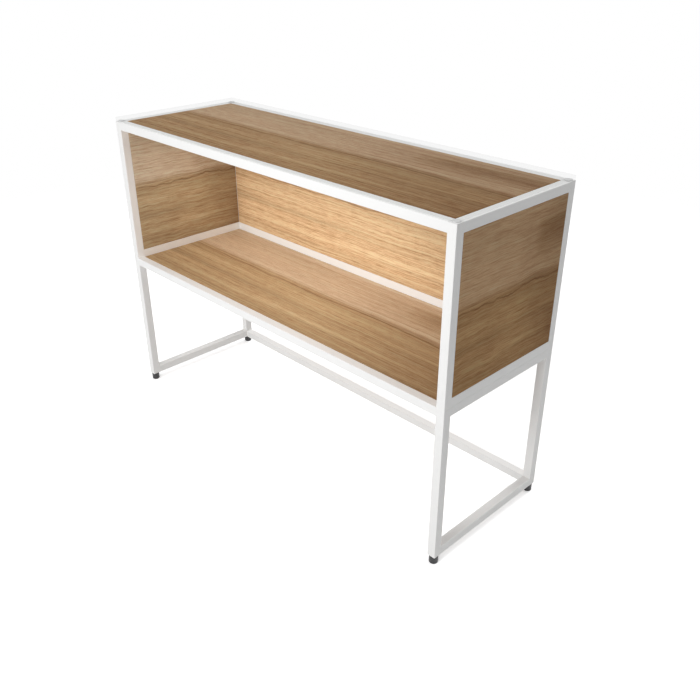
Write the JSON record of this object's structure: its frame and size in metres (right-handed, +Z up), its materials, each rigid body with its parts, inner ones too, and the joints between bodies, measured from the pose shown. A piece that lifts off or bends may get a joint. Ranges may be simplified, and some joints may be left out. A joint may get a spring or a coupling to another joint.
{
  "type": "sideboard",
  "caption": "Sideboard of white square steel tube: an open-fronted, wood-panelled cubby under a clear glass top, on an open base frame with screw-adjusted levelling feet.",
  "frame": {"origin": "on the floor, under the centre of the sideboard", "axes": "+X to the right along the length, +Y to the back panel, +Z up; the open front faces -Y"},
  "size_m": [1.08, 0.36, 0.75],
  "materials": {
    "white_powder_coat": "smooth white powder coat, semi-matt",
    "walnut_veneer": "open-pored light walnut veneer, clear matt lacquer",
    "clear_glass": "clear toughened glass, ground edges",
    "grey_rubber": "light grey, matt",
    "white_plastic": "white moulded plastic, matt",
    "zinc_plated_steel": "bright zinc plate",
    "black_plastic": "black moulded plastic, satin"
  },
  "bodies": {
    "frame": {"base_post_front_left": "white_powder_coat", "base_post_front_right": "white_powder_coat", "base_post_back_left": "white_powder_coat", "base_post_back_right": "white_powder_coat", "base_top_rail_front": "white_powder_coat", "base_top_rail_back": "white_powder_coat", "base_top_rail_left": "white_powder_coat", "base_top_rail_right": "white_powder_coat", "base_bottom_rail_back": "white_powder_coat", "base_bottom_rail_left": "white_powder_coat", "base_bottom_rail_right": "white_powder_coat", "cubby_post_front_left": "white_powder_coat", "cubby_post_front_right": "white_powder_coat", "cubby_post_back_left": "white_powder_coat", "cubby_post_back_right": "white_powder_coat", "cubby_top_rail_front": "white_powder_coat", "cubby_top_rail_back": "white_powder_coat", "cubby_top_rail_left": "white_powder_coat", "cubby_top_rail_right": "white_powder_coat", "cubby_bottom_rail_back": "white_powder_coat", "cubby_bottom_rail_left": "white_powder_coat", "cubby_bottom_rail_right": "white_powder_coat", "top_panel": "walnut_veneer", "shelf_panel": "walnut_veneer", "back_panel": "walnut_veneer", "left_panel": "walnut_veneer", "right_panel": "walnut_veneer", "glass_top": "clear_glass", "threaded_insert_front_left": "black_plastic", "threaded_insert_front_right": "black_plastic", "threaded_insert_back_left": "black_plastic", "threaded_insert_back_right": "black_plastic", "joining_sleeve_front_left": "zinc_plated_steel", "joining_sleeve_front_right": "zinc_plated_steel", "joining_sleeve_back_left": "zinc_plated_steel", "joining_sleeve_back_right": "zinc_plated_steel", "post_cap_front_left": "white_plastic", "post_cap_front_right": "white_plastic", "post_cap_back_left": "white_plastic", "post_cap_back_right": "white_plastic", "glass_button_front_left": "grey_rubber", "glass_button_front_right": "grey_rubber", "glass_button_back_left": "grey_rubber", "glass_button_back_right": "grey_rubber"},
    "stud_front_left": {"foot_stud_front_left": "zinc_plated_steel"},
    "pad_front_left": {"foot_pad_front_left": "black_plastic"},
    "stud_front_right": {"foot_stud_front_right": "zinc_plated_steel"},
    "pad_front_right": {"foot_pad_front_right": "black_plastic"},
    "stud_back_left": {"foot_stud_back_left": "zinc_plated_steel"},
    "pad_back_left": {"foot_pad_back_left": "black_plastic"},
    "stud_back_right": {"foot_stud_back_right": "zinc_plated_steel"},
    "pad_back_right": {"foot_pad_back_right": "black_plastic"}
  },
  "joints": [
    {"name": "foot_front_left_travel", "type": "slide", "parent": "frame", "child": "stud_front_left", "axis": [0, 0, -1], "range_m": [0, 0.012]},
    {"name": "foot_front_left_turn", "type": "hinge", "parent": "stud_front_left", "child": "pad_front_left", "pos_m": [-0.53, -0.17, 0], "axis": [0, 0, -1], "range_deg": [0, 3456]},
    {"name": "foot_front_right_travel", "type": "slide", "parent": "frame", "child": "stud_front_right", "axis": [0, 0, -1], "range_m": [0, 0.012]},
    {"name": "foot_front_right_turn", "type": "hinge", "parent": "stud_front_right", "child": "pad_front_right", "pos_m": [0.53, -0.17, 0], "axis": [0, 0, -1], "range_deg": [0, 3456]},
    {"name": "foot_back_left_travel", "type": "slide", "parent": "frame", "child": "stud_back_left", "axis": [0, 0, -1], "range_m": [0, 0.012]},
    {"name": "foot_back_left_turn", "type": "hinge", "parent": "stud_back_left", "child": "pad_back_left", "pos_m": [-0.53, 0.17, 0], "axis": [0, 0, -1], "range_deg": [0, 3456]},
    {"name": "foot_back_right_travel", "type": "slide", "parent": "frame", "child": "stud_back_right", "axis": [0, 0, -1], "range_m": [0, 0.012]},
    {"name": "foot_back_right_turn", "type": "hinge", "parent": "stud_back_right", "child": "pad_back_right", "pos_m": [0.53, 0.17, 0], "axis": [0, 0, -1], "range_deg": [0, 3456]}
  ],
  "couplings": [
    {"joint": "foot_front_left_travel", "follows": "foot_front_left_turn", "m_per_rad": 0.00019894},
    {"joint": "foot_front_right_travel", "follows": "foot_front_right_turn", "m_per_rad": 0.00019894},
    {"joint": "foot_back_left_travel", "follows": "foot_back_left_turn", "m_per_rad": 0.00019894},
    {"joint": "foot_back_right_travel", "follows": "foot_back_right_turn", "m_per_rad": 0.00019894}
  ]
}
